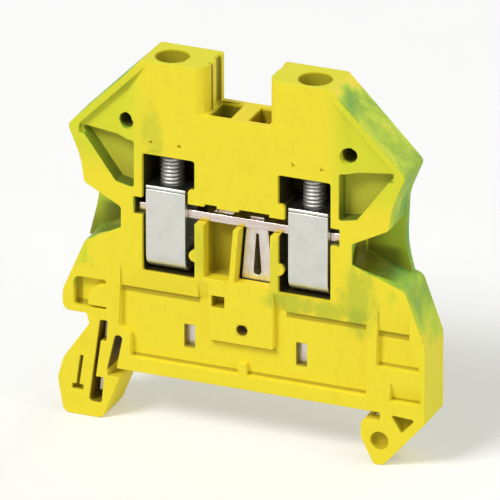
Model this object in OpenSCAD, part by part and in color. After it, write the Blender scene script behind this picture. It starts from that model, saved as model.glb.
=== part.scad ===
// Earth terminal block: a slim moulded housing, open on one side, with two screw clamps.
// The origin is the middle of the seat between the feet: X runs from the sprung foot to the
// fixed foot, Y through the thickness and Z up. The open side faces -Y, the closed wall +Y.

/* [Seat] */
// Width of the seat that the two feet grip
seat_w = 35; // [34.6:0.1:35.4]
// Thickness that the hooks of the feet grip
grip_t = 1; // [0.9:0.05:1.2]
// Room in the grip
grip_gap = 0.15; // [0.1:0.05:0.25]

/* [Housing] */
// Thickness of the block
block_w = 6.2; // [6:0.1:8.2]
// Height of the tower tops above the seat
top_z = 41.1; // [39.5:0.1:44]
// Depth of both feet below the seat
foot_drop = 6.9; // [6.2:0.1:7.3]
// Thickness of the closed side wall
back_t = 1; // [0.8:0.05:1.3]
// Offset of the clamping part from the middle of the seat
clamp_x = -0.9; // [-1.3:0.1:-0.4]
// Reach of the sprung foot beyond the seat
left_foot_w = 6.7; // [6.3:0.1:7.5]
// Reach of the fixed foot beyond the seat
right_foot_w = 6; // [5.5:0.1:7]

/* [Towers and noses] */
// Width of the valley between the two towers
valley_w = 7.9; // [7.4:0.1:8.4]
// Depth of the valley below the tower tops
valley_d = 6.1; // [5:0.1:7]
// Width of a tower's flat top
tower_w = 8.15; // [7.6:0.05:8.8]
// Radius of a tower's front corner beside the valley
tower_round = 2; // [1.5:0.1:2.4]
// Reach of each nose from the middle of the clamping part
nose_half = 21.8; // [21.2:0.1:22.5]
// Height of the nose tips below the tower tops
nose_drop = 9.9; // [9.2:0.1:10.5]
// How far the face of a nose stands back from the front
wing_set = 0.7; // [0.3:0.05:1]
// Slope of the facet between a tower's front and the face of its nose, in degrees
facet_slope = 24; // [18:1:32]
// Width of the rim along each sloping shoulder
rim_w = 0.9; // [0.7:0.05:1.5]
// Depth of the three-cornered recess in each nose
nose_recess_d = 2.2; // [1.5:0.1:3.2]
// Diameter of the cover peg hole in each nose
peg_d = 2; // [1.6:0.1:2.4]
// Depth of the cover peg holes
peg_depth = 3; // [2:0.1:4]
// Distance of a peg hole from its clamp screw
peg_out = 5.1; // [4.8:0.1:5.4]

/* [Bridge shafts] */
// Width of the deep shaft, which reaches down to the current bar
deep_shaft_w = 2.8; // [2.6:0.1:3.4]
// Width of the shallow shaft
shallow_shaft_w = 2.7; // [2:0.1:2.8]
// Depth of the shallow shaft
shallow_shaft_d = 2.4; // [1.5:0.1:4]
// Thickness of the wall in front of the shafts
shaft_wall = 0.9; // [0.6:0.05:1.2]

/* [Wire entries] */
// Diameter of a wire entry
wire_d = 3.2; // [2.8:0.1:3.6]
// Reach of the notch faces from the middle of the clamping part
notch_half = 14.95; // [14.6:0.05:15.6]
// Height of a notch face
notch_h = 2.7; // [2.2:0.1:3.2]
// Rise of the notch's middle above the wire
notch_rise = 1.2; // [0.8:0.1:1.5]

/* [Lower body] */
// Height at which both lobes are widest
lobe_z = 9.3; // [8.8:0.1:9.8]
// Height of the left lobe's underside
lobe_under = 6.7; // [6.4:0.1:7]
// Fall of the lower lip of each notch
lip_drop = 2.4; // [1.8:0.1:3]
// Depth of the shallow fields in the lower front
field_d = 0.85; // [0.4:0.05:1]
// Height of the ledge over the fields
field_top = 11; // [10.4:0.1:11.6]
// Height of the base strip under the fields
field_low = 1.9; // [1.5:0.1:2.4]
// Half the width of the raised pad between the fields
pad_half = 4.2; // [3.8:0.1:4.6]
// Height of the raised pad's lower edge
pad_low = 5.9; // [5.4:0.1:6.4]
// Width of each window onto the earth foot
window_w = 1.35; // [1:0.05:1.6]
// Height of each window
window_h = 2.9; // [2.4:0.1:3.2]
// Distance of each window from the middle of the seat
window_x = 7.25; // [6.6:0.05:8]

/* [Clamps] */
// Distance between the two clamp screws
clamp_pitch = 18.4; // [18:0.1:18.8]
// Travel of a cage from open to shut
clamp_travel = 3.8; // [3:0.1:4.2]
// Width of a cage
cage_w = 5.1; // [4.8:0.1:5.3]
// Thickness of a cage's sheet
sheet_t = 0.9; // [0.7:0.05:1]
// Height of a cage's folded foot, up to the shelf that lifts the wire
cage_foot = 3.1; // [2.6:0.1:3.4]
// Room in front of a cage and behind it
cage_gap = 0.2; // [0.15:0.05:0.3]
// Nominal diameter of the clamp screws
screw_d = 3; // [2.6:0.1:3.2]
// Diameter of a screw head
head_d = 4.4; // [4.3:0.05:4.5]
// Height of a screw head
head_h = 2.4; // [1.8:0.1:2.8]
// Diameter of the screwdriver guide in each tower
guide_d = 4.2; // [3.8:0.05:4.25]

/* [Current bar] */
// Height of the bar's underside above the seat
bar_z = 20.9; // [20.5:0.1:21.6]
// Thickness of the bar
bar_t = 1.1; // [1:0.1:1.5]
// Room over the bar in its slot and in the cages
bar_head = 1.2; // [0.9:0.1:1.4]
// Length of the bar
bar_len = 26.4; // [25.8:0.1:26.8]

/* [Earth foot] */
// Thickness of the stamped earth foot
foot_t = 1.6; // [1.2:0.1:1.8]
// Place of the tongue to the right of the seat's middle
tongue_x = 1.15; // [0.8:0.05:1.4]
// Width of the tongue under the bar
tongue_top_w = 2.8; // [2.6:0.1:3.2]
// Width of the tongue at its root
tongue_root_w = 4; // [3.6:0.1:4.2]
// Width of the tenon that holds the bar
tenon_w = 1.8; // [1.4:0.1:2.2]
// Diameter of the round end of the tongue's slit
slit_d = 1; // [0.7:0.1:1.2]
// Width of the sprung arm
arm_w = 0.9; // [0.7:0.05:1]

/* [Hidden] */
$fn = 48;

// Cuts run this far past the faces that they open
past = 1;
// Turn of each short facet of a rounded corner, in degrees
arc_step = 15;
// Room between pieces that stay put, and between pieces that move
fit_gap = 0.1;
run_gap = 0.1;
// Corner radii, from moulded edges to the lobes
fine_r = 0.2;
edge_r = 0.3;
soft_r = 0.5;
round_r = 0.8;
toe_r = 1;
lip_r = 1.2;
heel_r = 2.4;
lobe_r = 3;
waist_r = 6;
fin_r = 12;

// Depths, from the open front to the closed wall
front_y = -block_w / 2;
back_y = block_w / 2;
inner_y = back_y - back_t;
axis_y = (front_y + inner_y) / 2;

// Clamp: the stack of heights starts from the bar
shut_gap = 0.2;
lap_t = 0.8;
stop_gap = 0.3;
roof_t = 1.2;
head_room = 0.6;
head_gap = 0.1;
shelf_z = bar_z - shut_gap - clamp_travel;
cage_z = shelf_z - cage_foot;
cage_inner_top = bar_z + bar_t + bar_head;
cage_top = cage_inner_top + 2 * lap_t;
chamber_floor = cage_z - stop_gap;
chamber_top = cage_top + clamp_travel + stop_gap;
head_z = chamber_top + roof_t;
guide_z = head_z + head_h + head_room;
cage_d = inner_y - front_y - 2 * cage_gap;
bar_d = cage_d - 2 * sheet_t - 2 * run_gap;
bar_half = bar_len / 2;
wire_z = (shelf_z + bar_z) / 2;

// Chambers, in widths from the middle of the clamping part
chamber_inner_gap = 1.25;
chamber_outer_gap = 0.4;
screw_x = clamp_pitch / 2;
chamber_in = screw_x - cage_w / 2 - chamber_inner_gap;
chamber_out = screw_x + cage_w / 2 + chamber_outer_gap;
step_w = 0.85;
step_rise = 0.3;
nub_r = 0.75;
nub_rise = 2.7;
dent_w = 0.7;
dent_d = 0.4;
dent_out = 1.85;
dent_rise = 1.6;

// Towers, shoulders and noses
valley_z = top_z - valley_d;
shoulder_half = valley_w / 2 + tower_w;
nose_z = top_z - nose_drop;
notch_low = wire_z + notch_rise - notch_h / 2;
notch_high = notch_low + notch_h;
knee_in = 1.7;
knee_drop = 4.2;
lip_in = 2.1;
lip_rise = 2.5;
fin_in = 2;
fin_rise = 1.5;
fin_root = 4;
wing_low = chamber_top + 1;
wing_foot = chamber_out + 1.1;
facet_in = 0.5;
facet_drop = 0.8;
facet_lean = 14;
tip_in = 1.5;
tip_drop = 0.9;
recess_w = 2.3;
recess_rise = 2.8;
peg_rise = 1.5;
mouth = 0.7;
funnel = 0.9;

// Valley floor and walls
shaft_y = front_y + shaft_wall;
deep_edge = 0.15;
deep_x = clamp_x - valley_w / 2 + deep_edge;
shallow_x = clamp_x + valley_w / 2 - shallow_shaft_w;
shaft_rib_w = 0.35;
shaft_rib_h = 0.8;
groove_d = 0.35;
thin_groove_w = 0.5;
wide_groove_w = 1.5;

// Steps in the roof of the bar's slot: place from the middle of the seat, and width
roof_steps = [[-5, 1.6], [-0.55, 3.9]];
roof_step_h = 0.35;

// Feet
left_reach = seat_w / 2 + left_foot_w;
right_reach = seat_w / 2 + right_foot_w;
hook_x = seat_w / 2 + grip_gap;
hook_z = -grip_t - grip_gap;
base_left = seat_w / 2 - 1;
gap_w = 1;
gap_top = 4.4;
gap_lean = 1;
left_lip_in = 3.7;
right_lip_in = 2.6;
left_lobe_in = 0.7;
neck_in = 4.2;
neck_z = 5.4;
calf_z = 0.4;
heel_z = -2.4;
heel_in = 0.8;
toe_w = 0.8;
left_hook_w = 1.5;
right_hook_w = 2.3;
right_hook_h = 2.4;
right_toe_half = 0.6;
right_knee_z = -0.6;

// Fields, pockets and slits of the lower front
field_left = -seat_w / 2 + 1.5;
field_right = seat_w / 2 - 1.6;
field_corner = [1.4, 0.8];
corner_z = 5;
spur_w = 1.1;
spur_h = 1.5;
spur_x = -0.15;
window_low = 4.1;
sight_d = 1.4;
sight_z = 7.8;
pad_x = -0.3;
pad_notch = [1.7, 1.5];
pad_notch_x = -4.1;
ledge_half = 5.65;
slope_top = 14;
slope_d = 0.45;
side_rim = 0.6;
side_x = field_right + 1.4;
side_end = right_reach - side_rim;
side_low = 6;
side_top = 10.6;
side_cant = 1.5;
small_side_x = side_x + 1.7;
small_side_low = 1.75;
small_side_top = 4.3;
lobe_pocket_d = 1.2;
lobe_pocket_in = 2.2;
lobe_pocket_low = 7.5;
lobe_pocket_top = 11.4;
boss_in = 6.4;
boss_z = 8.4;
boss_r = 2.4;
boss_gap = 0.35;
slit_depth = 1;
slit_in = 3;
slit_w = 0.4;
slit_lean = 0.55;
slit_top = 1;
slit_end = -2.9;
slit_cross = [1.5, 0.7];
toe_pocket_d = 1.4;
toe_pocket = [[4.4, -0.1], [1.3, -0.3], [3, -2.3]];
toe_hole_d = 2.3;
toe_hole_z = -3.7;

// Earth foot: a plate in the middle of the block's depth
foot_front = axis_y - foot_t / 2;
foot_back = axis_y + foot_t / 2;
foot_edge = 0.7;
cross_high = 8.7;
cross_low = 3.4;
shoulder_drop = 2.4;
tenon_up = 0.25;
root_rise = 0.2;
land_w = 4;
land_lean = 1.5;
claw_x = hook_x + 1.5;
claw_tip = hook_x - 1.3;
claw_low = hook_z - 1.8;
arm_x = -hook_x + 0.05;
arm_z = 6;
arm_lean = 0.95;
arm_end = -4;
arm_play = 0.65;
cover_gap = 0.45;
cover_top = 3.4;
cover_low = -1.5;
slit_low = 15.1;
slit_top_w = 0.3;
slit_drop = 0.9;
pocket_rise = 0.4;
pocket_side = 0.3;
pocket_in = 1.2;
rib_w = 0.75;
bridge_hole = [2.4, 1.5];

// Cages and screws
cage_bend = 1.9;
lap_line = 0.12;
lap_depth = 0.5;
lap_drop = 0.45;
slot_w = 0.8;
slot_d = 1.2;
point_h = 0.35;

function flat(p) = [p[0], p[1]];
function unit(v) = v / norm(v);
function turn_short(a) = a > 180 ? a - 360 : a < -180 ? a + 360 : a;

// One corner b of an outline, between its neighbours a and c, as an arc of radius r
function corner(a, b, c, r) =
    r == 0 ? [b] :
    let (u = unit(a - b), v = unit(c - b),
         half = acos(max(-1, min(1, u * v))) / 2,
         reach = min(r / tan(half), 0.49 * norm(a - b), 0.49 * norm(c - b)),
         centre = b + unit(u + v) * reach / cos(half),
         first = b + u * reach - centre,
         last = b + v * reach - centre,
         from = atan2(first[1], first[0]),
         turn = turn_short(atan2(last[1], last[0]) - from),
         n = max(1, ceil(abs(turn) / arc_step)))
    [for (i = [0:n]) centre + norm(first) * [cos(from + turn * i / n), sin(from + turn * i / n)]];

// An outline of [x, z, corner radius] points as plain points
function rounded(p) =
    let (n = len(p))
    [for (i = [0:n - 1])
        each corner(flat(p[(i + n - 1) % n]), flat(p[i]), flat(p[(i + 1) % n]), p[i][2])];

// A shape drawn in X and Z, given depth from y0 to y1
module slab(y0, y1) {
    translate([0, y1, 0]) rotate([90, 0, 0]) linear_extrude(y1 - y0) children();
}

// A cut that opens the front and is this deep
module front_cut(depth) {
    slab(front_y - past, front_y + depth) children();
}

// A sloping cut in the front, flush at the top and this deep at its lower edge
module front_wedge(x0, x1, z_top, z_low, depth) {
    translate([x0, 0, 0]) rotate([90, 0, 90]) linear_extrude(x1 - x0) polygon([
        [front_y, z_top], [front_y + depth, z_low], [front_y - past, z_low], [front_y - past, z_top]]);
}

// Both clamping halves, drawn once to the right of their middle
module both_halves() {
    for (side = [0, 1]) translate([clamp_x, 0, 0]) mirror([side, 0, 0]) children();
}

// Half of the towers, shoulders and noses
module upper_half() {
    polygon(rounded([
        [-past, chamber_floor, 0], [-past, valley_z, 0],
        [valley_w / 2, valley_z, 0], [valley_w / 2, top_z, edge_r],
        [shoulder_half, top_z, soft_r], [nose_half, nose_z, round_r],
        [nose_half - knee_in, nose_z - knee_drop, waist_r],
        [nose_half - lip_in, notch_high + lip_rise, round_r],
        [notch_half, notch_high, soft_r], [notch_half, chamber_floor, 0]]));
}

// The lobes, the base, the sprung foot on the left and the fixed foot on the right
module lower_body() {
    polygon(rounded([
        [clamp_x - notch_half, notch_low, soft_r],
        [-left_reach + left_lip_in, notch_low - lip_drop, lip_r],
        [-left_reach + left_lobe_in, lobe_z, lobe_r],
        [-left_reach + left_lobe_in, lobe_under, toe_r],
        [-left_reach + neck_in - edge_r, lobe_under, edge_r],
        [-left_reach + neck_in, neck_z, soft_r],
        [-left_reach + heel_in, calf_z, heel_r],
        [-left_reach, heel_z, heel_r],
        [-left_reach + heel_in, -foot_drop, toe_r],
        [-seat_w / 2 - toe_w, -foot_drop, round_r],
        [-seat_w / 2 + left_hook_w, hook_z, edge_r],
        [-hook_x, hook_z, 0], [-hook_x, 0, 0],
        [-hook_x + gap_lean, gap_top, soft_r], [-hook_x + gap_lean + gap_w, gap_top, soft_r],
        [-base_left, 0, fine_r],
        [hook_x, 0, 0], [hook_x, hook_z, fine_r],
        [seat_w / 2 - right_hook_w, hook_z, round_r],
        [seat_w / 2 - right_hook_w, hook_z - right_hook_h, toe_r],
        [seat_w / 2 - right_toe_half, -foot_drop, soft_r],
        [seat_w / 2 + right_toe_half, -foot_drop, round_r],
        [right_reach, right_knee_z, round_r],
        [right_reach, lobe_z, lobe_r],
        [right_reach - right_lip_in, notch_low - lip_drop, lip_r],
        [clamp_x + notch_half, notch_low, soft_r]]));
}

// The closed wall fills each notch almost to the noses, with a hollow edge
module fin_half() {
    polygon(rounded([
        [notch_half - past, notch_high + fin_root, 0],
        [nose_half - knee_in, nose_z - knee_drop, 0],
        [nose_half - fin_in, wire_z + fin_rise, fin_r],
        [nose_half - side_rim, notch_low - fin_root, 0],
        [notch_half - past, notch_low - fin_root, 0]]));
}

// The face of a nose, under the shoulder's rim. A leaning facet leads down to it from the tower.
module wing_cut() {
    slope = nose_drop / (nose_half - shoulder_half);
    rim_z = rim_w * sqrt(1 + slope * slope);
    tip = nose_half - tip_in;
    tip_z = top_z - rim_z - slope * (tip - shoulder_half);
    facet_x = shoulder_half - facet_in;
    facet_z = top_z - facet_drop;
    low_x = facet_x + (facet_z - wing_low) * tan(facet_lean);
    difference() {
        front_cut(wing_set) polygon(rounded([
            [low_x, wing_low, 0], [facet_x, facet_z, 0],
            [shoulder_half, top_z - rim_z, 0], [tip, tip_z, fine_r],
            [tip, nose_z - tip_drop, fine_r]]));
        translate([facet_x, front_y, facet_z]) rotate([0, -facet_lean, 0]) rotate([0, 0, facet_slope]) {
            translate([-past, 0, -nose_half]) cube([nose_half, block_w, 2 * nose_half]);
        }
    }
}

// Rounds a tower's front corner beside the valley
module tower_corner() {
    translate([valley_w / 2, front_y, valley_z]) difference() {
        translate([-past, -past, 0]) cube([tower_round + past, tower_round + past, valley_d + past]);
        translate([tower_round, tower_round, -past]) cylinder(r = tower_round, h = valley_d + 3 * past);
    }
}

// Three-cornered recess that lightens a nose
module nose_recess() {
    polygon(rounded([
        [wing_foot, nose_z - tip_drop, edge_r], [nose_half - tip_in, nose_z, edge_r],
        [wing_foot + recess_w, notch_high + recess_rise + soft_r, soft_r],
        [wing_foot, notch_high + recess_rise, edge_r]]));
}

// Chamber for a cage, with a step in its inner wall above the bar and a nub below it
module chamber() {
    difference() {
        polygon(rounded([
            [chamber_in, chamber_floor, edge_r], [chamber_in, bar_z, 0],
            [chamber_in + step_w, bar_z, 0], [chamber_in + step_w, cage_top + step_rise, soft_r],
            [chamber_in, cage_top + step_rise, fine_r], [chamber_in, chamber_top, edge_r],
            [chamber_out, chamber_top, edge_r], [chamber_out, chamber_floor, edge_r]]));
        translate([chamber_in, cage_z + nub_rise]) circle(r = nub_r);
    }
}

// Two small dents over each chamber
module chamber_dents() {
    for (side = [-1, 1]) {
        translate([screw_x + side * dent_out, chamber_top + dent_rise]) circle(d = dent_w, $fn = 3);
    }
}

// Slot for the bar, with a pocket for its end beyond each chamber
module bar_slot() {
    slot_half = bar_half + fit_gap;
    translate([clamp_x - slot_half, bar_z - fit_gap]) {
        square([2 * slot_half, bar_t + bar_head]);
    }
    translate([clamp_x - chamber_in - past, bar_z]) {
        square([2 * (chamber_in + past), bar_t + bar_head]);
    }
    for (step = roof_steps) {
        translate([step[0], bar_z]) square([step[1], bar_t + bar_head + roof_step_h]);
    }
}

// Screwdriver guide, head chamber and screw hole of one tower
module screw_shaft() {
    translate([screw_x, axis_y, 0]) {
        translate([0, 0, guide_z]) cylinder(d = guide_d, h = top_z - guide_z + past);
        translate([0, 0, head_z]) cylinder(d = head_d + 2 * head_gap, h = guide_z - head_z);
        translate([0, 0, chamber_top - past]) {
            cylinder(d = screw_d + 4 * run_gap, h = roof_t + 2 * past);
        }
    }
}

// Round wire entry with a funnel mouth in the notch
module wire_entry() {
    mouth_d = wire_d + 2 * mouth;
    translate([0, axis_y, wire_z]) rotate([0, 90, 0]) {
        translate([0, 0, chamber_out - past]) cylinder(d = wire_d, h = notch_half - chamber_out + past);
        translate([0, 0, notch_half - funnel]) cylinder(d1 = wire_d, d2 = mouth_d, h = funnel);
        translate([0, 0, notch_half]) cylinder(d = mouth_d, h = nose_half - notch_half + past);
    }
}

// Shafts in the valley floor for plug-in bridges
module bridge_shafts() {
    shaft_d = inner_y - shaft_y;
    shallow_z = valley_z - shallow_shaft_d;
    translate([deep_x, shaft_y, bar_z + bar_t]) cube([deep_shaft_w, shaft_d, top_z - bar_z]);
    difference() {
        translate([shallow_x, shaft_y, shallow_z]) {
            cube([shallow_shaft_w, shaft_d, shallow_shaft_d + past]);
        }
        for (i = [1, 2]) {
            rib_x = shallow_x + i * shallow_shaft_w / 3 - shaft_rib_w / 2;
            translate([rib_x, front_y, shallow_z - past]) {
                cube([shaft_rib_w, block_w, shaft_rib_h + past]);
            }
        }
    }
}

// A thin and a wide upright groove in the valley wall of a tower
module valley_grooves() {
    for (groove = [[front_y + tower_round, thin_groove_w], [inner_y - wide_groove_w, wide_groove_w]]) {
        translate([valley_w / 2 - past, groove[0], valley_z]) {
            cube([past + groove_d, groove[1], valley_d + past]);
        }
    }
}

// Shallow fields pressed into the lower front, round the raised pad
module lower_fields() {
    difference() {
        polygon(rounded([
            [field_left, field_top, 0], [field_right, field_top, 0],
            [field_right, field_low, edge_r], [field_left + field_corner[0], field_low, edge_r],
            [field_left + field_corner[0], corner_z, edge_r],
            [field_left, corner_z + field_corner[1], edge_r]]));
        translate([pad_x - pad_half, pad_low]) square([2 * pad_half, field_top]);
        translate([spur_x - spur_w / 2, 0]) square([spur_w, field_low + spur_h]);
    }
    polygon(rounded([
        [side_x, side_top, 0], [side_end - side_cant, side_top, 0],
        [side_end, side_low, edge_r], [side_x, side_low, edge_r]]));
}

// Slopes down to the ledges over the fields, and down to the fields either side of the pad
module front_slopes() {
    left_end = pad_x - ledge_half;
    right_end = pad_x + ledge_half;
    low = field_top - fit_gap;
    front_wedge(field_left, left_end, slope_top, low, slope_d);
    front_wedge(left_end, pad_x - pad_half, chamber_floor, low, field_d);
    front_wedge(pad_x + pad_half, right_end, chamber_floor, low, field_d);
    front_wedge(right_end, field_right, slope_top, low, slope_d);
    front_wedge(side_x, side_end - side_cant, slope_top, side_top - fit_gap, slope_d);
    front_wedge(small_side_x, side_end, small_side_top, small_side_low, field_d);
}

// Openings onto the earth foot: the sight hole, the notch over the pad and the two windows
module foot_windows() {
    translate([spur_x, sight_z]) circle(d = sight_d);
    translate([pad_notch_x, field_top - pad_notch[1] / 2]) square(pad_notch);
    for (side = [-1, 1]) {
        translate([side * window_x - window_w / 2, window_low]) square([window_w, window_h]);
    }
}

// Pocket in the left lobe, round a quarter-round boss with a groove under it
module lobe_pocket() {
    left = -left_reach + lobe_pocket_in;
    right = -left_reach + boss_in;
    difference() {
        polygon(rounded([
            [left, lobe_pocket_low, soft_r], [left, lobe_pocket_top, round_r],
            [right, lobe_pocket_top, edge_r], [right, lobe_pocket_low, 0]]));
        intersection() {
            translate([right, boss_z]) circle(r = boss_r);
            translate([left, lobe_pocket_low + boss_gap]) square([2 * boss_in, 2 * boss_r]);
        }
    }
}

// Slot of the sprung foot, with room for the sprung arm to move outwards
module arm_slot() {
    end_x = arm_x - arm_lean;
    polygon(rounded([
        [arm_x - arm_w - fit_gap, arm_z + fit_gap, fine_r], [arm_x, arm_z + fit_gap, fine_r],
        [end_x + fit_gap, arm_end - arm_w, edge_r],
        [end_x - arm_w - arm_play, arm_end - arm_w, soft_r]]));
}

// Moulding left over the middle of the sprung arm, beside a narrow gap
module arm_cover() {
    intersection() {
        translate([cover_gap, 0]) arm_slot();
        translate([-left_reach, cover_low]) square([left_reach, cover_top - cover_low]);
    }
}

// Slit of the sprung foot with a short cross end
module foot_slit() {
    top_x = -left_reach + slit_in;
    end_x = top_x - slit_lean;
    polygon([
        [top_x, slit_top], [top_x + slit_w, slit_top],
        [end_x + slit_w, slit_end], [end_x, slit_end]]);
    translate([end_x + (slit_w - slit_cross[0]) / 2, slit_end - slit_cross[1]]) square(slit_cross);
}

// Three-cornered pocket of the fixed foot
module toe_recess() {
    polygon(rounded([for (p = toe_pocket) [right_reach - p[0], p[1], fine_r]]));
}

// Stamped outline of the earth foot, with its tenon and both contacts
module foot_blank() {
    tenon_top = bar_z + bar_t + tenon_up;
    root_z = chamber_floor + root_rise;
    land_in = seat_w / 2 - land_w;
    arm_low = gap_top + side_rim;
    polygon([
        [tongue_x - tenon_w / 2, tenon_top], [tongue_x + tenon_w / 2, tenon_top],
        [tongue_x + tenon_w / 2, bar_z], [tongue_x + tongue_top_w / 2, bar_z],
        [tongue_x + tongue_root_w / 2, root_z], [tongue_x + tongue_root_w / 2, cross_high],
        [hook_x - lip_r, cross_high], [claw_x, cross_high - shoulder_drop], [claw_x, claw_low],
        [claw_tip + edge_r, claw_low], [claw_tip, hook_z - fit_gap],
        [hook_x + fit_gap, hook_z - fit_gap],
        [hook_x + fit_gap, 0], [land_in, 0], [land_in - land_lean, cross_low],
        [-land_in + land_lean, cross_low], [-land_in, 0], [-base_left + foot_edge, 0],
        [-base_left + foot_edge + gap_w, arm_low], [arm_x, arm_low],
        [arm_x - arm_lean, arm_end], [arm_x - arm_lean - arm_w, arm_end],
        [arm_x - arm_w, arm_z], [-base_left + foot_edge, cross_high - shoulder_drop],
        [-base_left + heel_r, cross_high],
        [tongue_x - tongue_root_w / 2, cross_high], [tongue_x - tongue_root_w / 2, root_z],
        [tongue_x - tongue_top_w / 2, bar_z], [tongue_x - tenon_w / 2, bar_z]]);
}

// Room for the earth foot, open below so that the foot goes in from under the seat
module foot_room() {
    room_left = -base_left + foot_edge - fit_gap;
    offset(delta = fit_gap) foot_blank();
    translate([room_left, -past]) square([claw_x + fit_gap - room_left, past + cross_low]);
    translate([claw_tip - fit_gap, -foot_drop - past]) {
        square([claw_x - claw_tip + 2 * fit_gap, foot_drop + past + hook_z]);
    }
}

// Slit that makes the tongue springy, with a round end
module tongue_slit() {
    top = bar_z - slit_drop;
    translate([tongue_x, slit_low]) circle(d = slit_d);
    polygon([
        [tongue_x - slit_top_w / 2, top], [tongue_x + slit_top_w / 2, top],
        [tongue_x + slit_d / 2, slit_low], [tongue_x - slit_d / 2, slit_low]]);
}

// Pocket round the tongue and the bare pocket beside it, either side of a thin rib
module middle_pockets() {
    low = chamber_floor + pocket_rise;
    right = tongue_x + tongue_root_w / 2 + pocket_side;
    left_top = tongue_x - tongue_top_w / 2 - pocket_side;
    left_low = tongue_x - tongue_root_w / 2 - pocket_side;
    far = clamp_x - chamber_in + pocket_in;
    polygon([[left_top, bar_z], [right, bar_z], [right, low], [left_low, low]]);
    polygon(rounded([
        [far, bar_z, 0], [left_top - rib_w, bar_z, 0],
        [left_low - rib_w, low, edge_r], [far, low, edge_r]]));
}

module housing() {
    plate_back = foot_back + fit_gap - front_y;
    color([0.91, 0.87, 0.22]) difference() {
        union() {
            slab(front_y, back_y) {
                both_halves() upper_half();
                lower_body();
            }
            slab(inner_y, back_y) both_halves() fin_half();
        }
        both_halves() {
            wing_cut();
            front_cut(nose_recess_d) nose_recess();
            front_cut(wing_set + peg_depth) {
                translate([screw_x + peg_out, nose_z + peg_rise]) circle(d = peg_d);
            }
            front_cut(dent_d) chamber_dents();
            front_cut(inner_y - front_y) chamber();
            screw_shaft();
            wire_entry();
            tower_corner();
            valley_grooves();
        }
        bridge_shafts();
        front_cut(axis_y + bar_d / 2 + fit_gap - front_y) bar_slot();
        front_cut(plate_back) middle_pockets();
        front_cut(field_d) lower_fields();
        front_slopes();
        front_cut(foot_front - front_y) foot_windows();
        front_cut(lobe_pocket_d) lobe_pocket();
        slab(foot_front - fit_gap, foot_back + fit_gap) arm_slot();
        front_cut(foot_front - front_y) difference() {
            arm_slot();
            arm_cover();
        }
        front_cut(slit_depth) foot_slit();
        front_cut(toe_pocket_d) toe_recess();
        front_cut(slit_depth) translate([hook_x, toe_hole_z]) circle(d = toe_hole_d);
        slab(foot_front - fit_gap, foot_back + fit_gap) foot_room();
    }
}

module current_bar() {
    color([0.86, 0.8, 0.76]) translate([0, axis_y, bar_z]) linear_extrude(bar_t) difference() {
        translate([clamp_x, 0]) polygon(rounded([
            [-bar_half, -bar_d / 2, edge_r], [bar_half, -bar_d / 2, edge_r],
            [bar_half, bar_d / 2, edge_r], [-bar_half, bar_d / 2, edge_r]]));
        translate([tongue_x, 0]) square([tenon_w + 2 * fit_gap, foot_t + 2 * fit_gap], center = true);
        translate([deep_x + deep_shaft_w / 2, 0]) square(bridge_hole, center = true);
    }
}

module earth_foot() {
    color([0.8, 0.78, 0.74]) slab(foot_front, foot_back) difference() {
        foot_blank();
        tongue_slit();
    }
}

// Folded cage: a strip bent to a box, lapped double under the screw
module cage() {
    half = cage_d / 2;
    room = half - sheet_t;
    inner_bend = cage_bend - sheet_t;
    color([0.83, 0.83, 0.78]) difference() {
        rotate([90, 0, 90]) linear_extrude(cage_w, center = true) difference() {
            polygon(rounded([
                [-half, cage_z, cage_bend], [half, cage_z, cage_bend],
                [half, cage_top, soft_r], [-half, cage_top, fine_r]]));
            polygon(rounded([
                [-room, shelf_z, fine_r], [room, shelf_z, fine_r],
                [room, cage_inner_top, fine_r], [-room, cage_inner_top, fine_r]]));
            polygon(rounded([
                [-room, cage_z + sheet_t, inner_bend], [room, cage_z + sheet_t, inner_bend],
                [room, shelf_z - sheet_t, fine_r], [-room, shelf_z - sheet_t, fine_r]]));
            translate([-half - past, cage_top - lap_drop - lap_line / 2]) {
                square([past + lap_depth, lap_line]);
            }
        }
        translate([0, 0, cage_inner_top - past]) {
            cylinder(d = screw_d + 2 * run_gap, h = 2 * lap_t + 2 * past);
        }
    }
}

// Slotted clamp screw, its tip just over the bar and its head on its seat in the tower
module screw() {
    tip_z = bar_z + bar_t + shut_gap;
    under_z = head_z + run_gap;
    color([0.78, 0.78, 0.74]) difference() {
        union() {
            translate([0, 0, tip_z]) cylinder(d1 = screw_d - 2 * point_h, d2 = screw_d, h = point_h);
            translate([0, 0, tip_z + point_h]) {
                cylinder(d = screw_d, h = under_z + run_gap - tip_z - point_h);
            }
            translate([0, 0, under_z]) cylinder(d = head_d, h = head_h);
        }
        translate([-head_d, -slot_w / 2, under_z + head_h - slot_d]) {
            cube([2 * head_d, slot_w, slot_d + past]);
        }
    }
}

// A piece on the axis of the left (-1) or right (1) clamp
module at_clamp(side) {
    translate([clamp_x + side * screw_x, axis_y, 0]) children();
}

module left_cage() { at_clamp(-1) cage(); }
module right_cage() { at_clamp(1) cage(); }
module left_screw() { at_clamp(-1) screw(); }
module right_screw() { at_clamp(1) screw(); }

housing();
current_bar();
earth_foot();
left_cage();
right_cage();
left_screw();
right_screw();
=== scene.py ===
import math

import bmesh
import bpy
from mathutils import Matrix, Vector
from mathutils.bvhtree import BVHTree
from mathutils.kdtree import KDTree


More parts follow.
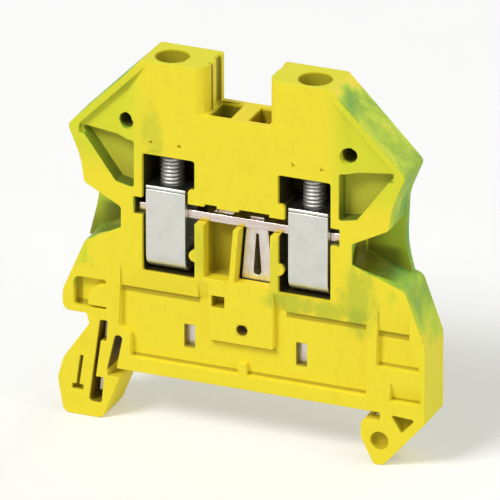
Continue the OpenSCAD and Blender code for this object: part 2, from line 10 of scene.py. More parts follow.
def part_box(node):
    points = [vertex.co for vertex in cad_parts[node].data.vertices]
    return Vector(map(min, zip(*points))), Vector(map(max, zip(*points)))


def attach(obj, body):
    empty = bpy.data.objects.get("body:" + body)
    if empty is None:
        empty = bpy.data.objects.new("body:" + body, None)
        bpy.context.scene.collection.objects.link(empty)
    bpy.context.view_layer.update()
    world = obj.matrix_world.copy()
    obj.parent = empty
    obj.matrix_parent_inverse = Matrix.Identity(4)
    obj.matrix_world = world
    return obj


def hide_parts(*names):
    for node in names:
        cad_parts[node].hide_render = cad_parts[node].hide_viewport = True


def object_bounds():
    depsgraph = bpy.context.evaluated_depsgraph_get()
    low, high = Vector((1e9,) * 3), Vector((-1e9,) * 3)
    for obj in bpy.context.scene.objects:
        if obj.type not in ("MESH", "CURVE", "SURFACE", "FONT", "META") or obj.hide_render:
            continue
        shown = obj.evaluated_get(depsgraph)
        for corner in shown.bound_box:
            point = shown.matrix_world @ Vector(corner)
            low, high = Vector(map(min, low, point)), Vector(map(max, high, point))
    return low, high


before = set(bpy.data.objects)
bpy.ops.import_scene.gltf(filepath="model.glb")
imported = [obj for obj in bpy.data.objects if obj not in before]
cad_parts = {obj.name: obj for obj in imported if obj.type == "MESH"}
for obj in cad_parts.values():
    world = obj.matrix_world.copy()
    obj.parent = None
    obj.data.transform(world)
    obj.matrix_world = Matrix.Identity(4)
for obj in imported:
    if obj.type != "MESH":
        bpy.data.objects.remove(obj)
cad_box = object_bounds()

# Housing: one slim moulding of polyamide, open on the front so that the metal parts drop in, with
# a thin closed wall behind. Yellow and green granulate is only half mixed in the press, so the two
# ends come out marbled. The edges have the small radius of the mould.
mm = 0.001
housing_edge_r = 0.13 * mm
weld_gap = 0.002 * mm
flat_turn = math.radians(0.6)    # faces that turn less become one flat face
sharp_turn = math.radians(32)    # edges that turn more are rounded
crease_turn = math.radians(50)   # edges that still turn more are shaded sharp
round_steps = 2
round_tries = 12
round_reach = 0.55               # how far a round may lie from its solid, as a share of its width


def solid_copy(node, name):
    """A copy of a solid with its loose triangles merged and its flat faces whole again."""
    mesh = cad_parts[node].data.copy()
    mesh.name = name
    mesh.materials.clear()
    normals = mesh.attributes.get("custom_normal")
    if normals:
        mesh.attributes.remove(normals)
    shape = bmesh.new()
    shape.from_mesh(mesh)
    bmesh.ops.remove_doubles(shape, verts=shape.verts, dist=weld_gap)
    bmesh.ops.dissolve_limit(shape, angle_limit=flat_turn, verts=shape.verts, edges=shape.edges)
    shape.to_mesh(mesh)
    shape.free()
    piece = bpy.data.objects.new(name, mesh)
    bpy.context.scene.collection.objects.link(piece)
    return piece


def plain_mesh(piece):
    """The piece as its modifiers show it, as a mesh of its own."""
    bpy.context.view_layer.update()
    graph = bpy.context.evaluated_depsgraph_get()
    return bpy.data.meshes.new_from_object(piece.evaluated_get(graph))


def make_plain(piece):
    """Turns the piece's modifiers into its mesh."""
    mesh = plain_mesh(piece)
    piece.modifiers.clear()
    piece.data = mesh


def astray(mesh, skin, box, reach):
    """The places where a rounded mesh leaves the skin or the box of its solid, or folds over."""
    low, high = box
    places = []
    for vertex in mesh.vertices:
        outside = any(p < a - weld_gap or p > b + weld_gap for p, a, b in zip(vertex.co, low, high))
        if outside or skin.find_nearest(vertex.co)[3] > reach:
            places.append(vertex.co.copy())
    for face in mesh.polygons:
        normal = skin.find_nearest(face.center)[1]
        if face.normal.length > 0 and face.normal.dot(normal) < 0:
            places.append(face.center.copy())
    return places


def soften_edges(piece, width):
    """Rounds the sharp edges of a piece. An edge with no room for its round stays sharp."""
    mesh = piece.data
    skin = BVHTree.FromPolygons([v.co for v in mesh.vertices], [p.vertices for p in mesh.polygons])
    box = [[pick(v.co[i] for v in mesh.vertices) for i in range(3)] for pick in (min, max)]
    corners = KDTree(len(mesh.vertices))
    for vertex in mesh.vertices:
        corners.insert(vertex.co, vertex.index)
    corners.balance()
    shape = bmesh.new()
    shape.from_mesh(mesh)
    rounds = [float(edge.calc_face_angle(0) > sharp_turn) for edge in shape.edges]
    shape.free()
    weights = mesh.attributes.new("bevel_weight_edge", "FLOAT", "EDGE")
    rounding = piece.modifiers.new("edge_radius", "BEVEL")
    rounding.width = width
    rounding.segments = round_steps
    rounding.limit_method = "WEIGHT"
    rounding.use_clamp_overlap = False
    for _ in range(round_tries):
        weights.data.foreach_set("value", rounds)
        mesh.update_tag()
        places = astray(plain_mesh(piece), skin, box, round_reach * width)
        crowded = {corners.find(place)[1] for place in places}
        if not crowded:
            break
        rounds = [0.0 if crowded.intersection(edge.vertices) else weight
                  for edge, weight in zip(mesh.edges, rounds)]
    make_plain(piece)
    mesh = piece.data
    mesh.polygons.foreach_set("use_smooth", [True] * len(mesh.polygons))
    mesh.set_sharp_from_angle(angle=crease_turn)
    weighting = piece.modifiers.new("face_normals", "WEIGHTED_NORMAL")
    weighting.keep_sharp = True
    make_plain(piece)


class Nodes:
    """A node tree, with short ways to add nodes to it."""

    def __init__(self, tree):
        self.tree = tree

    def add(self, kind, inputs=(), **settings):
        """A new node with its settings, and its inputs as values or as links."""
        made = self.tree.nodes.new(kind)
        for key, value in settings.items():
            setattr(made, key, value)
        for key, value in dict(inputs).items():
            if isinstance(value, bpy.types.NodeSocket):
                self.join(value, made.inputs[key])
            else:
                made.inputs[key].default_value = value
        return made

    def join(self, source, target):
        """A link from one socket to another."""
        self.tree.links.new(source, target)

    def drawn_out(self, place, scale, turn=(0, 0, 0)):
        """Coordinates that are turned and scaled, so that a pattern on them is drawn out."""
        mapping = self.add("ShaderNodeMapping", {"Vector": place, "Rotation": turn, "Scale": scale})
        return mapping.outputs[0]

    def noise(self, place, grain, **more):
        """Noise from 0 to 1, with this many grains to the metre."""
        return self.add("ShaderNodeTexNoise", {"Vector": place, "Scale": grain, **more}).outputs[0]

    def rise(self, value, low, high):
        """A smooth step from 0 to 1 as the value goes from low to high."""
        step = self.add("ShaderNodeMapRange", {0: value, 1: low, 2: high}, interpolation_type="SMOOTHSTEP")
        return step.outputs[0]

    def run(self, value, first, last, low=0, high=1):
        """A straight run from first to last as the value goes from low to high."""
        return self.add("ShaderNodeMapRange", {0: value, 1: low, 2: high, 3: first, 4: last}).outputs[0]

    def vary(self, noise, first, last):
        """A run from first to last over the range that noise mostly keeps to."""
        usual_low, usual_high = 0.3, 0.7
        return self.run(noise, first, last, usual_low, usual_high)

    def reckon(self, operation, *values):
        """One sum over two or more values, such as a product."""
        total = values[0]
        for value in values[1:]:
            total = self.add("ShaderNodeMath", {0: total, 1: value}, operation=operation).outputs[0]
        return total

    def distance(self, value, middle):
        """How far a value is from a middle, on either side."""
        gap = self.reckon("SUBTRACT", value, middle)
        return self.add("ShaderNodeMath", {0: gap}, operation="ABSOLUTE").outputs[0]

    def mixed(self, factor, a, b):
        """Two colours mixed by a factor."""
        return self.add("ShaderNodeMix", {0: factor, 6: a, 7: b}, data_type="RGBA").outputs[2]

    def inside(self, axes, low, high, soft):
        """1 inside a box between two corners, fading to 0 over a soft border round it."""
        steps = []
        for axis, least, most, border in zip(axes, low, high, soft):
            steps.append(self.rise(axis, least - border, least))
            steps.append(self.rise(axis, most + border, most))
        return self.reckon("MULTIPLY", *steps)

    def bumps(self, height, strength, depth):
        """The normal of a surface that is as uneven as a height, down to a depth."""
        bump = self.add("ShaderNodeBump", {"Strength": strength, "Distance": depth, "Height": height})
        return bump.outputs[0]


def new_material(name):
    """An empty procedural material, its shader, its nodes and the piece's own coordinates."""
    material = bpy.data.materials.new(name)
    material.use_nodes = True
    nodes = Nodes(material.node_tree)
    coords = nodes.add("ShaderNodeTexCoord").outputs["Object"]
    return material, material.node_tree.nodes["Principled BSDF"], nodes, coords


# The two granulates and their mixtures, then colours for painted shade: the same plastic in half
# shade and in deep places
yellow = (0.89, 0.74, 0.034, 1)
ripe_yellow = (0.8, 0.64, 0.024, 1)
lime = (0.53, 0.67, 0.035, 1)
grass = (0.42, 0.6, 0.05, 1)
moss = (0.3, 0.45, 0.045, 1)
leaf = (0.28, 0.46, 0.035, 1)
teal = (0.075, 0.33, 0.1, 1)
pale_olive = (0.5, 0.5, 0.05, 1)
amber = (0.36, 0.26, 0.01, 1)
olive = (0.14, 0.15, 0.018, 1)
chestnut = (0.13, 0.05, 0.012, 1)
umber = (0.1, 0.075, 0.014, 1)
unlit = (0.012, 0.012, 0.009, 1)

# The material measures the moulding in millimetres. side is how far a place is from the middle of
# the clamps, and facing is 1 on a face that looks forwards and -1 on one that looks back.
plastic, shader, nodes, coords = new_material("marbled_polyamide")
place = nodes.add("ShaderNodeVectorMath", {0: coords, "Scale": 1 / mm}, operation="SCALE").outputs[0]
x, y, z = nodes.add("ShaderNodeSeparateXYZ", {0: place}).outputs
bar_low, bar_high = (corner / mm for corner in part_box("current_bar"))
cage_low, cage_high = (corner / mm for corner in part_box("right_cage"))
screw_low, screw_high = (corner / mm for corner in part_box("right_screw"))
front_y = cad_box[0].y / mm
top_z = cad_box[1].z / mm
clamp_x = (bar_low.x + bar_high.x) / 2
side = nodes.distance(x, clamp_x)
facing = nodes.add("ShaderNodeAttribute", attribute_name="facing").outputs["Fac"]
half_turned, square_on = 0.6, 0.85
on_front = nodes.rise(facing, half_turned, square_on)
on_back = nodes.rise(facing, -half_turned, -square_on)
off_front = nodes.run(on_front, 1, 0)
off_back = nodes.run(on_back, 1, 0)

# Marbling: drawn-out clouds of green, thick on the sides of both ends and thin on their front. The
# green starts further out on the lobes than on the noses, and fades towards the front edges.
flow_scale, flow_turn = (1, 0.8, 0.55), (0.3, 0.7, 0.5)
cloud_grain, speck_grain, speck_share = 190, 900, 0.22
flow = nodes.drawn_out(coords, flow_scale, flow_turn)
clouds = nodes.noise(flow, cloud_grain, Detail=5, Roughness=0.6, Distortion=0.7)
specks = nodes.noise(flow, speck_grain, Detail=3, Roughness=0.6, Distortion=0.4)
marble = nodes.reckon("ADD", clouds, nodes.reckon("MULTIPLY", specks, speck_share))
lobe_z, nose_z = 9, 21
lobe_start, nose_start, end_fade = 19, 10.8, 3.7
end_start = nodes.run(z, lobe_start, nose_start, lobe_z, nose_z)
at_end = nodes.rise(nodes.reckon("SUBTRACT", side, end_start), 0, end_fade)
plain_z, marbled_z = 3, 14
up_end = nodes.reckon("MULTIPLY", at_end, nodes.rise(z, plain_z, marbled_z))
front_share, rim_share = 0.3, 0.8
rim_from, rim_to = front_y + 0.3, front_y + 1.8
off_rim = nodes.run(nodes.rise(y, rim_from, rim_to), rim_share, 1)
on_ends = nodes.reckon("MULTIPLY", up_end, off_back, nodes.run(on_front, off_rim, front_share))

# The closed wall has thin marbling in its middle and thick marbling towards its ends. The clouds
# shift the place where it grows thick, so that the border is ragged.
wall_drift, wall_fade = 7, 2 * end_fade
wall_middle_share, wall_end_share = 0.45, 0.85
drift = nodes.vary(clouds, -wall_drift, wall_drift)
past_start = nodes.reckon("SUBTRACT", nodes.reckon("ADD", side, drift), end_start)
at_wall_end = nodes.rise(past_start, 0, wall_fade)
on_wall = nodes.reckon("MULTIPLY", on_back, nodes.run(at_wall_end, wall_middle_share, wall_end_share))

# The marble, less a cut that falls as the share of green grows, gives the tone. Where there is little
# green, the yellow has riper specks.
share = nodes.reckon("MAXIMUM", on_ends, on_wall)
plain_cut, green_cut = 0.5, -0.08
tones = ((0.38, yellow), (0.51, lime), (0.69, leaf), (0.86, teal))
green = nodes.reckon("SUBTRACT", marble, nodes.run(share, plain_cut, green_cut))
tone = nodes.add("ShaderNodeValToRGB", {0: green})
stops = tone.color_ramp.elements
stops.remove(stops[0])
for position, colour in tones:
    stops.new(position).color = colour
stops.remove(stops[len(tones)])
little_green = 0.5
ripe_from, ripe_to, ripe_share = 0.45, 0.75, 0.35
off_green = nodes.rise(share, little_green, 0)
ripe = nodes.reckon("MULTIPLY", nodes.rise(specks, ripe_from, ripe_to), off_green, ripe_share)
skin = nodes.mixed(ripe, tone.outputs[0], ripe_yellow)

# The faces of the noses, the tower tops and the outer sides have a thin tint of lime all over
nose_from, nose_to, nose_tint = 25, 29, 0.5
top_from, top_to, top_tint = top_z - 0.2, top_z - 0.05, 0.35
side_from, side_to, side_tint = 17, 20, 0.2
on_nose = nodes.reckon("MULTIPLY", at_end, on_front, nodes.rise(z, nose_from, nose_to), nose_tint)
on_top = nodes.reckon("MULTIPLY", nodes.rise(z, top_from, top_to), top_tint)
on_side = nodes.reckon("MULTIPLY", nodes.rise(side, side_from, side_to), off_front, off_back, side_tint)
for tint in (on_nose, on_top, on_side):
    skin = nodes.mixed(tint, skin, lime)

# A few ragged blots of moss green lie on the front. Each has a centre, a reach across and up, and a
# strength, and fades between a far and a near distance, as shares of that reach.
even_marble, raggedness = 0.6, 4
blot_far, blot_near = 1.5, 0.4
limit_far, limit_near = 1.8, 1.2
blots = {
    "under the right chamber": ((10.2, 12.3), (5, 1.3), 0.48),
    "beside the right chamber": ((14.9, 14.2), (2.2, 3.6), 0.5),
    "on the left tower": ((-11.7, 32.5), (1.1, 3.4), 0.34),
    "rib of the bare pocket": ((-5.7, 17), (0.8, 4), 0.3),
    "rib of the tongue pocket": ((4, 17), (0.7, 4), 0.22)}
ragged = nodes.reckon("MULTIPLY", nodes.reckon("SUBTRACT", marble, even_marble), raggedness)
for name, (centre, reach, strength) in blots.items():
    across = nodes.reckon("DIVIDE", nodes.reckon("SUBTRACT", x, centre[0]), reach[0])
    up = nodes.reckon("DIVIDE", nodes.reckon("SUBTRACT", z, centre[1]), reach[1])
    offset = nodes.add("ShaderNodeCombineXYZ", {0: across, 1: up}).outputs[0]
    away = nodes.add("ShaderNodeVectorMath", {0: offset}, operation="LENGTH").outputs["Value"]
    blot = nodes.rise(nodes.reckon("SUBTRACT", away, ragged), blot_far, blot_near)
    blot = nodes.reckon("MULTIPLY", blot, nodes.rise(away, limit_far, limit_near), on_front, strength)
    skin = nodes.mixed(blot, skin, moss)
    skin.node.label = name

# The closed wall shows as a thin green fin in each wire notch. Painted shade makes it olive deep
# in the notch, turning to grass green further out and up.
fin_y_from, fin_y_to = 0.9, 1.9
fin_from, fin_to, fin_tint = 14, 14.6, 0.78
grass_from, grass_to = 14.4, 18.5
grass_z_from, grass_z_to = 15.5, 20.5
on_fin = nodes.reckon("MULTIPLY", on_front, nodes.rise(y, fin_y_from, fin_y_to),
                      nodes.rise(side, fin_from, fin_to), fin_tint)
out_fin = nodes.reckon("MULTIPLY", nodes.rise(side, grass_from, grass_to),
                       nodes.rise(z, grass_z_from, grass_z_to))
skin = nodes.mixed(on_fin, skin, nodes.mixed(out_fin, olive, grass))

# Painted shade: the plastic is darkened along the inner corners of the shallow fields, where
# shadow falls. Each line is given by its left and right ends and its lower and upper edges.
field_floor = front_y + 0.85
line_back = field_floor + 0.6
line_border = (0.1, 0.3, 0.12)
shadow_tint = 0.65
painted_corner_shadows = {
    "under the left ledge": (-16, -5.95, 10.25, 11.1),
    "under the right ledge": (5.35, 15.9, 10.25, 11.1),
    "under the side ledge": (17.3, 21.4, 9.8, 10.7),
    "under the pad": (-4.5, 3.9, 5.5, 5.95),
    "over the base strip": (-14.6, 15.9, 1.85, 2.2),
    "foot of the side field": (17.3, 22.9, 5.95, 6.3),
    "foot of the small side field": (19, 22.9, 1.7, 2),
    "wall of the lobe pocket": (-22.05, -21.3, 7.4, 10.9),
    "foot of the lobe pocket": (-22.05, -18, 7.4, 7.95)}
for name, (left, right, low, high) in painted_corner_shadows.items():
    line = nodes.inside((x, y, z), (left, field_floor, low), (right, line_back, high), line_border)
    skin = nodes.mixed(nodes.reckon("MULTIPLY", line, shadow_tint), skin, amber)
    skin.node.label = name

# Painted shade: the recess of a nose is coloured as in half shade, darker towards its foot. It ends
# at a slanting top edge and at a sloping outer wall, which both run from the tip.
recess_x, recess_low, recess_top = 13.25, 24.1, 30.3
tip_x, tip_z = 20.3, 31.2
slope_run, slope_rise = 4.75, 6.4
recess_front, recess_back = front_y + 0.2, -0.7
recess_margin_in, recess_margin_out = 0.1, 0.2
recess_border = (0.1, 0.15, 0.1)
slope_fade_from, slope_fade_to = 0.4, 0.15
edge_fade_from, edge_fade_to = 0.15, 0.02
deep_z, deep_shade, high_shade = recess_low + 1, 0.85, 0.5
slope_turn = math.atan2(slope_run, slope_rise)
over_edge = nodes.reckon("SUBTRACT", z, nodes.run(side, recess_top, tip_z, recess_x, tip_x))
past_tip = nodes.reckon("MULTIPLY", nodes.reckon("SUBTRACT", side, tip_x), math.cos(slope_turn))
over_tip = nodes.reckon("MULTIPLY", nodes.reckon("SUBTRACT", z, tip_z), math.sin(slope_turn))
past_slope = nodes.reckon("SUBTRACT", past_tip, over_tip)
in_recess = nodes.inside((side, y, z), (recess_x - recess_margin_in, recess_front, recess_low),
                         (tip_x + recess_margin_out, recess_back, tip_z), recess_border)
in_recess = nodes.reckon("MULTIPLY", in_recess, nodes.rise(past_slope, slope_fade_from, slope_fade_to),
                         nodes.rise(over_edge, edge_fade_from, edge_fade_to))
floor_shade = nodes.run(z, deep_shade, high_shade, deep_z, recess_top)
skin = nodes.mixed(nodes.reckon("MULTIPLY", in_recess, floor_shade), skin,
                   nodes.mixed(on_front, olive, pale_olive))

# Painted shade: deep rooms take little light, so they are darkened. Each is a box with a colour
# and a strength. Across, it goes by x, by x along the lean of the sprung arm, or by the distance
# from a middle where there are two alike.
mouth_y = front_y + 0.75
inner_y = 2.2
chamber_in = cage_low.x - clamp_x - 1.3
chamber_out = cage_high.x - clamp_x + 0.45
chamber_low = cage_low.z - 0.6
chamber_high = cage_high.z + 4.2
slot_low = bar_low.z - 0.2
slot_top = bar_high.z + 1.25
slot_out = bar_high.x - clamp_x + 0.2
middle_slot_top = slot_top + 0.35
guide_in, guide_out = screw_low.x - clamp_x, screw_high.x - clamp_x
guide_low = screw_low.z + 6
arm_lean = 0.107
arm_top = 6.2
below_arm_top = nodes.reckon("SUBTRACT", arm_top, z)
leaning = nodes.reckon("ADD", x, nodes.reckon("MULTIPLY", below_arm_top, arm_lean))
apart = nodes.distance(x, 0)
shaded_rooms = {
    "chambers": (side, (chamber_in, mouth_y, chamber_low), (chamber_out, inner_y, chamber_high),
                 unlit, 0.97),
    "bar slot": (side, (0, mouth_y, bar_high.z), (chamber_in, bar_high.y, middle_slot_top), unlit, 0.9),
    "ends of the bar slot": (side, (chamber_out, mouth_y, slot_low), (slot_out, bar_high.y, slot_top),
                             unlit, 0.9),
    "tongue pocket": (x, (-1.5, -1.3, 13.7), (3.6, inner_y, bar_low.z), unlit, 0.92),
    "bare pocket": (x, (-5.3, -1.2, 13.7), (-1.45, inner_y, bar_low.z), umber, 0.5),
    "deep shaft": (x, (-4.9, -2, slot_top), (-1.85, inner_y, 34.5), olive, 0.75),
    "shallow shaft": (x, (0.2, -2, 30), (3.1, inner_y, 34.6), amber, 0.8),
    "valley grooves": (side, (3.99, -1.2, 35.1), (4.4, inner_y, 40.7), olive, 0.7),
    "driver guides": (side, (guide_in, -2.5, guide_low), (guide_out, inner_y, 40.8), olive, 0.5),
    "peg holes": (side, (13.1, -1.9, 31.5), (15.5, 1, 33.9), umber, 0.9),
    "slot of the sprung arm": (leaning, (-19, -2.7, -5), (-17.2, 0.4, arm_top), chestnut, 0.75),
    "gap behind the sprung foot": (x, (-17.8, -2.7, -0.3), (-15.5, 2.6, 4.5), chestnut, 0.88),
    "sight hole": (x, (-0.9, -2.8, 7.05), (0.6, -1.2, 8.55), chestnut, 0.85),
    "windows": (apart, (6.55, -2.05, 4.05), (7.95, -1.1, 7.05), umber, 0.7),
    "wire entries": (side, (12, -2.4, 16.6), (14.9, 1.8, 21.2), olive, 0.75)}
# Painted shade in the small pockets of the feet and the pad
shaded_pockets = {
    "slit of the sprung foot": (x, (-22.4, -2.7, -3.7), (-20.7, -2, 1.1), amber, 0.8),
    "notch over the pad": (x, (-4.2, -2.7, 10.2), (-2.3, -1.2, 11.8), amber, 0.75),
    "pocket of the fixed foot": (x, (19, -2.7, -2.5), (21.6, -1.6, 0.1), amber, 0.6),
    "hole of the fixed foot": (x, (16.4, -2.8, -4.9), (18.9, -2, -2.5), amber, 0.55)}
# Painted shadow on the floors of the wire notches, under the noses
notches = {"floors of the notches": (side, (14.9, -1.6, 15.6), (18.2, inner_y, 19), olive, 0.75)}
room_border = (0.03, 0.4, 0.12)
pocket_border = (0.2, 0.3, 0.2)
notch_border = (2, 1.2, 1)
for border, rooms in ((room_border, shaded_rooms), (pocket_border, shaded_pockets), (notch_border, notches)):
    for name, (across, low, high, colour, strength) in rooms.items():
        shade = nodes.reckon("MULTIPLY", nodes.inside((across, y, z), low, high, border), strength)
        skin = nodes.mixed(shade, skin, colour)
        skin.node.label = name
nodes.join(skin, shader.inputs["Base Color"])

# The face of the mould leaves a very fine grain and a low sheen
mould_grain, grain_strength, grain_depth = 5200, 0.06, 0.05 * mm
plastic_smooth, plastic_rough, plastic_sheen = 0.42, 0.56, 0.16
grain = nodes.noise(coords, mould_grain, Detail=2)
nodes.join(nodes.bumps(grain, grain_strength, grain_depth), shader.inputs["Normal"])
nodes.join(nodes.vary(specks, plastic_smooth, plastic_rough), shader.inputs["Roughness"])
shader.inputs["Specular IOR Level"].default_value = plastic_sheen

housing = solid_copy("housing", "moulded_housing")
soften_edges(housing, housing_edge_r)
turns = housing.data.attributes.new("facing", "FLOAT", "FACE")
turns.data.foreach_set("value", [-face.normal.y for face in housing.data.polygons])
housing.data.materials.append(plastic)
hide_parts("housing")
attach(housing, "block")

# Earth foot: a plate stamped from copper alloy and tinned, pushed up into the moulding from below.
# Its slit tongue carries the bar, and its claw and sprung arm make the contact to earth.
foot_edge_r = 0.09 * mm
foot_bright, foot_dull = (0.91, 0.86, 0.81, 1), (0.78, 0.68, 0.6, 1)
foot_smooth, foot_rough = 0.28, 0.4
foot_drawn = (1, 1, 0.08)


def tinned(name, bright, dull, drawn, smooth, rough):
    """Satin tin plate with the fine drawn lines of the strip it was stamped from."""
    line_grain, line_strength, line_depth = 4000, 0.12, 0.02 * mm
    patch_grain, patch_share = 700, 0.6
    worn_from, worn_to = 0.55, 1.05
    metal, shader, nodes, coords = new_material(name)
    lines = nodes.noise(nodes.drawn_out(coords, drawn), line_grain, Detail=3)
    patches = nodes.noise(coords, patch_grain, Detail=3)
    wear = nodes.reckon("ADD", lines, nodes.reckon("MULTIPLY", patches, patch_share))
    tin = nodes.mixed(nodes.rise(wear, worn_from, worn_to), bright, dull)
    nodes.join(tin, shader.inputs["Base Color"])
    nodes.join(nodes.vary(patches, smooth, rough), shader.inputs["Roughness"])
    nodes.join(nodes.bumps(lines, line_strength, line_depth), shader.inputs["Normal"])
    shader.inputs["Metallic"].default_value = 1
    return metal


foot = solid_copy("earth_foot", "stamped_earth_foot")
soften_edges(foot, foot_edge_r)
foot_tin = tinned("tinned_foot", foot_bright, foot_dull, foot_drawn, foot_smooth, foot_rough)
foot.data.materials.append(foot_tin)
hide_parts("earth_foot")
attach(foot, "block")

# Current bar: a flat strip of copper, punched and tinned, with the copper showing through a little.
# It lies in its slot across both clamps, over the tongue's tenon, and has a hole for a bridge.
bar_edge_r = 0.1 * mm
bar_bright, bar_dull = (0.93, 0.81, 0.75, 1), (0.8, 0.63, 0.55, 1)
bar_smooth, bar_rough = 0.16, 0.26
bar_drawn = (0.08, 1, 1)
bar = solid_copy("current_bar", "tinned_current_bar")
soften_edges(bar, bar_edge_r)
bar_tin = tinned("tinned_bar", bar_bright, bar_dull, bar_drawn, bar_smooth, bar_rough)
bar.data.materials.append(bar_tin)
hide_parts("current_bar")
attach(bar, "block")

# Clamp cages: thick steel strip folded to a box and lapped double at the top, where the screw goes
# through, then zinc plated. Each hangs on its screw and lifts the wire against the bar.
cage_edge_r = 0.07 * mm
cage_bright, cage_dull = (0.8, 0.8, 0.74, 1), (0.73, 0.73, 0.67, 1)
cage_smooth, cage_rough = 0.3, 0.4
cage_drawn = (1, 1, 0.06)
shaded_zinc = (0.1, 0.1, 0.09, 1)


def zinc_plate(name, bright, dull, drawn, smooth, rough, lit_top):
    """Satin zinc plate on steel, with soft clouds and fine lines. Above lit_top it is painted dark as
    shade.
    """
    line_grain, line_strength, line_depth = 5000, 0.05, 0.02 * mm
    cloud_grain, dull_from, dull_to = 500, 0.35, 0.72
    shade_border = 0.02 * mm
    plate_metallic = 0.9
    metal, shader, nodes, coords = new_material(name)
    lines = nodes.noise(nodes.drawn_out(coords, drawn), line_grain, Detail=3)
    clouds = nodes.noise(coords, cloud_grain, Detail=4, Roughness=0.6)
    plate = nodes.mixed(nodes.rise(clouds, dull_from, dull_to), bright, dull)
    height = nodes.add("ShaderNodeSeparateXYZ", {0: coords}).outputs[2]
    in_shade = nodes.rise(height, lit_top, lit_top + shade_border)
    nodes.join(nodes.mixed(in_shade, plate, shaded_zinc), shader.inputs["Base Color"])
    nodes.join(nodes.vary(lines, smooth, rough), shader.inputs["Roughness"])
    nodes.join(nodes.bumps(lines, line_strength, line_depth), shader.inputs["Normal"])
    shader.inputs["Metallic"].default_value = plate_metallic
    return metal


# Painted shade darkens the tops of the cages, which get little light deep under the towers
cage_lit_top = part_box("right_cage")[1].z - 0.03 * mm
cage_zinc = zinc_plate("satin_zinc", cage_bright, cage_dull, cage_drawn, cage_smooth, cage_rough,
                       cage_lit_top)
for hand in ("left", "right"):
    cage = solid_copy(f"{hand}_cage", f"{hand}_clamp_cage")
    soften_edges(cage, cage_edge_r)
    cage.data.materials.append(cage_zinc)
    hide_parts(f"{hand}_cage")
    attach(cage, f"{hand}_cage")

# Clamp screws: slotted steel screws with a rolled right-hand thread, zinc plated. The head is caught
# in the tower under the screwdriver guide, so turning the screw draws its cage up.
screw_edge_r = 0.1 * mm
thread_pitch = 0.5 * mm
core_r = 1.2 * mm
ridge = 0.27 * mm
head_h = 2.35 * mm
thread_run_out = 0.4 * mm
turn_steps = 40
ridge_sides = 4
# Painted shade: the screws' zinc is darker than the cages', as they stand in the dark chambers
screw_bright, screw_dull = (0.6, 0.6, 0.57, 1), (0.48, 0.48, 0.45, 1)
screw_smooth, screw_rough = 0.4, 0.52
screw_drawn = (1, 1, 1)
screw_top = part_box("right_screw")[1].z
screw_zinc = zinc_plate("dull_shaded_zinc", screw_bright, screw_dull, screw_drawn, screw_smooth, screw_rough,
                        screw_top)


def thread_tree():
    """A tree that winds a ridge round a screw's core, from its foot up to the head."""
    tree = bpy.data.node_groups.new("rolled_thread", "GeometryNodeTree")
    interface = tree.interface
    interface.new_socket("Geometry", in_out="INPUT", socket_type="NodeSocketGeometry")
    for name in ("Pitch", "Length", "Core radius", "Ridge"):
        interface.new_socket(name, in_out="INPUT", socket_type="NodeSocketFloat")
    interface.new_socket("Foot", in_out="INPUT", socket_type="NodeSocketVector")
    interface.new_socket("Finish", in_out="INPUT", socket_type="NodeSocketMaterial")
    interface.new_socket("Geometry", in_out="OUTPUT", socket_type="NodeSocketGeometry")
    nodes = Nodes(tree)
    start = nodes.add("NodeGroupInput").outputs
    rotations = nodes.reckon("DIVIDE", start["Length"], start["Pitch"])
    # Reverse makes it right-handed
    spiral = nodes.add("GeometryNodeCurveSpiral", {
        "Resolution": turn_steps, "Rotations": rotations, "Height": start["Length"],
        "Start Radius": start["Core radius"], "End Radius": start["Core radius"], "Reverse": True})
    upright = nodes.add("GeometryNodeSetCurveNormal", {"Curve": spiral.outputs[0]}, mode="Z_UP")
    profile = nodes.add("GeometryNodeCurvePrimitiveCircle", {
        "Resolution": ridge_sides, "Radius": start["Ridge"]})
    wound = nodes.add("GeometryNodeCurveToMesh", {
        "Curve": upright.outputs[0], "Profile Curve": profile.outputs[0], "Fill Caps": True})
    placed = nodes.add("GeometryNodeTransform", {
        "Geometry": wound.outputs[0], "Translation": start["Foot"]})
    both = nodes.add("GeometryNodeJoinGeometry", {0: start["Geometry"]})
    nodes.join(placed.outputs[0], both.inputs[0])
    real = nodes.add("GeometryNodeRealizeInstances", {"Geometry": both.outputs[0]})
    plated = nodes.add("GeometryNodeSetMaterial", {
        "Geometry": real.outputs[0], "Material": start["Finish"]})
    nodes.add("NodeGroupOutput", {0: plated.outputs[0]})
    return tree


winding = thread_tree()
sockets = {item.name: item.identifier for item in winding.interface.items_tree if item.in_out == "INPUT"}
for hand in ("left", "right"):
    low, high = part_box(f"{hand}_screw")
    axis = (low + high) / 2
    screw = solid_copy(f"{hand}_screw", f"{hand}_clamp_screw")
    shank_top = high.z - head_h
    for vertex in screw.data.vertices:
        arm = Vector((vertex.co.x - axis.x, vertex.co.y - axis.y, 0))
        if vertex.co.z < shank_top and arm.length > core_r:
            vertex.co -= arm * (1 - core_r / arm.length)
    soften_edges(screw, screw_edge_r)
    rolled = screw.modifiers.new("thread", "NODES")
    rolled.node_group = winding
    thread_foot = low.z + thread_run_out
    thread_length = shank_top - thread_run_out - thread_foot
    values = {"Pitch": thread_pitch, "Length": thread_length, "Core radius": core_r, "Ridge": ridge,
              "Foot": (axis.x, axis.y, thread_foot), "Finish": screw_zinc}
    for name, value in values.items():
        rolled[sockets[name]] = value
    make_plain(screw)
    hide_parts(f"{hand}_screw")
    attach(screw, f"{hand}_screw")

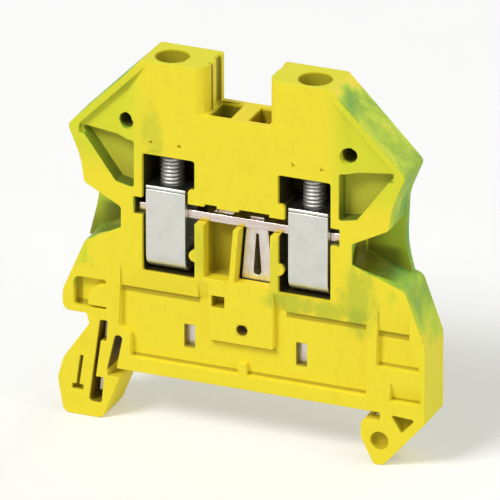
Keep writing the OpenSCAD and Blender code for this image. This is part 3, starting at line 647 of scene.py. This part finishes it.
# Stage: a pale table under three soft lamps and an even white surround. The key lamp stands high in
# front on the left, so that each ledge throws a thin shadow. The others light the right and the back.
table_half = 0.6
table_grey, table_pale = (0.77, 0.77, 0.77, 1), (0.8, 0.8, 0.795, 1)
table_grain, table_rough = 60, 0.9
floor_glow = 0.22
pure_white = (1, 1, 1, 1)
floor_z = cad_box[0].z
table_mesh = bpy.data.meshes.new("table")
table_mesh.from_pydata(
    [(-table_half, -table_half, floor_z), (table_half, -table_half, floor_z),
     (table_half, table_half, floor_z), (-table_half, table_half, floor_z)], [], [(0, 1, 2, 3)])
table = bpy.data.objects.new("table", table_mesh)
bpy.context.scene.collection.objects.link(table)
paper, shader, nodes, coords = new_material("pale_table")
fibre = nodes.noise(coords, table_grain, Detail=2)
nodes.join(nodes.mixed(fibre, table_grey, table_pale), shader.inputs["Base Color"])
seen = nodes.add("ShaderNodeLightPath").outputs["Is Camera Ray"]
nodes.join(nodes.reckon("MULTIPLY", seen, floor_glow), shader.inputs["Emission Strength"])
shader.inputs["Emission Color"].default_value = pure_white
shader.inputs["Roughness"].default_value = table_rough
table_mesh.materials.append(paper)

surround = 0.3
world = bpy.data.worlds.new("studio")
bpy.context.scene.world = world
world.use_nodes = True
sky = Nodes(world.node_tree)
rays = sky.add("ShaderNodeLightPath").outputs
white_rays = ("Camera", "Glossy", "Transmission")
seen_white = sky.reckon("MAXIMUM", *(rays[f"Is {kind} Ray"] for kind in white_rays))
background = world.node_tree.nodes["Background"]
background.inputs["Color"].default_value = pure_white
sky.join(sky.run(seen_white, surround, 1), background.inputs["Strength"])

middle = (cad_box[0] + cad_box[1]) / 2
lamp_reach = 1.4


def direction(azimuth, elevation):
    """The way from the object to a place round it. Azimuth 0 is in front, 90 to the right."""
    a, e = math.radians(azimuth), math.radians(elevation)
    return Vector((math.sin(a) * math.cos(e), -math.cos(a) * math.cos(e), math.sin(e)))


for name, azimuth, elevation, power, size in (("key_softbox", -28, 48, 13.2, 0.5),
                                              ("fill_softbox", 75, 25, 5.5, 1.2),
                                              ("back_softbox", 150, 18, 6, 1.2)):
    lamp = bpy.data.lights.new(name, "AREA")
    lamp.energy = power
    lamp.size = size
    holder = bpy.data.objects.new(name, lamp)
    holder.location = middle + direction(azimuth, elevation) * lamp_reach
    holder.rotation_euler = direction(azimuth, elevation).to_track_quat("Z", "Y").to_euler()
    bpy.context.scene.collection.objects.link(holder)

camera_azimuth, camera_elevation, camera_reach = 22, 24, 1.7
view_height = 60 * mm
view = direction(camera_azimuth, camera_elevation)
camera_data = bpy.data.cameras.new("camera")
camera_data.lens = camera_data.sensor_width * camera_reach / view_height
camera = bpy.data.objects.new("camera", camera_data)
camera.location = middle + view * camera_reach
camera.rotation_euler = view.to_track_quat("Z", "Y").to_euler()
bpy.context.scene.collection.objects.link(camera)
bpy.context.scene.camera = camera
bpy.context.scene.view_settings.view_transform = "Standard"
